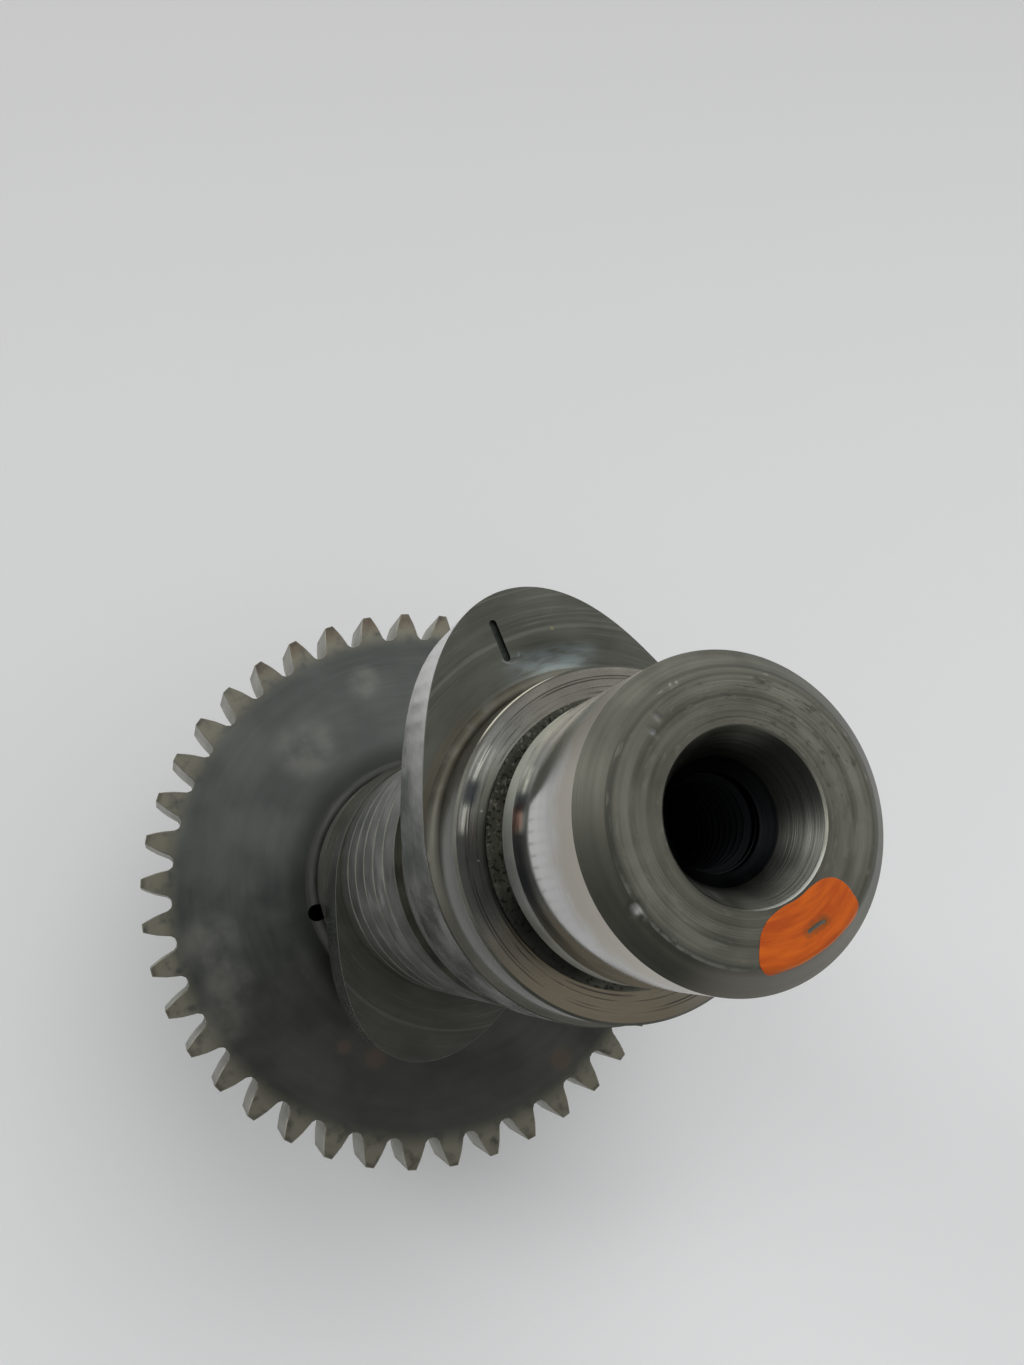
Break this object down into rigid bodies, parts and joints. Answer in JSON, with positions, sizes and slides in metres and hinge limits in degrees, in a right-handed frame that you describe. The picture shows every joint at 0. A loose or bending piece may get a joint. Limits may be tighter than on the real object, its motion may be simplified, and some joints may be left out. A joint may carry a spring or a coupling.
{
  "type": "camshaft",
  "caption": "Short engine camshaft in forged steel: ground end journals, thrust collar, cam lobes set apart in angle, turned body and an integral spur timing gear.",
  "frame": {"origin": "on the shaft axis at the gear-end face, the centre of the base it stands on", "axes": "+Z along the shaft axis from the gear end to the nose; +Y through the peak of lobe 1, the lobe beside the thrust collar"},
  "size_m": [0.088, 0.088, 0.137],
  "materials": {
    "steel": "ground, polished and turned steel with dark as-forged faces"
  },
  "bodies": {
    "root": {"camshaft": "steel"}
  },
  "joints": []
}
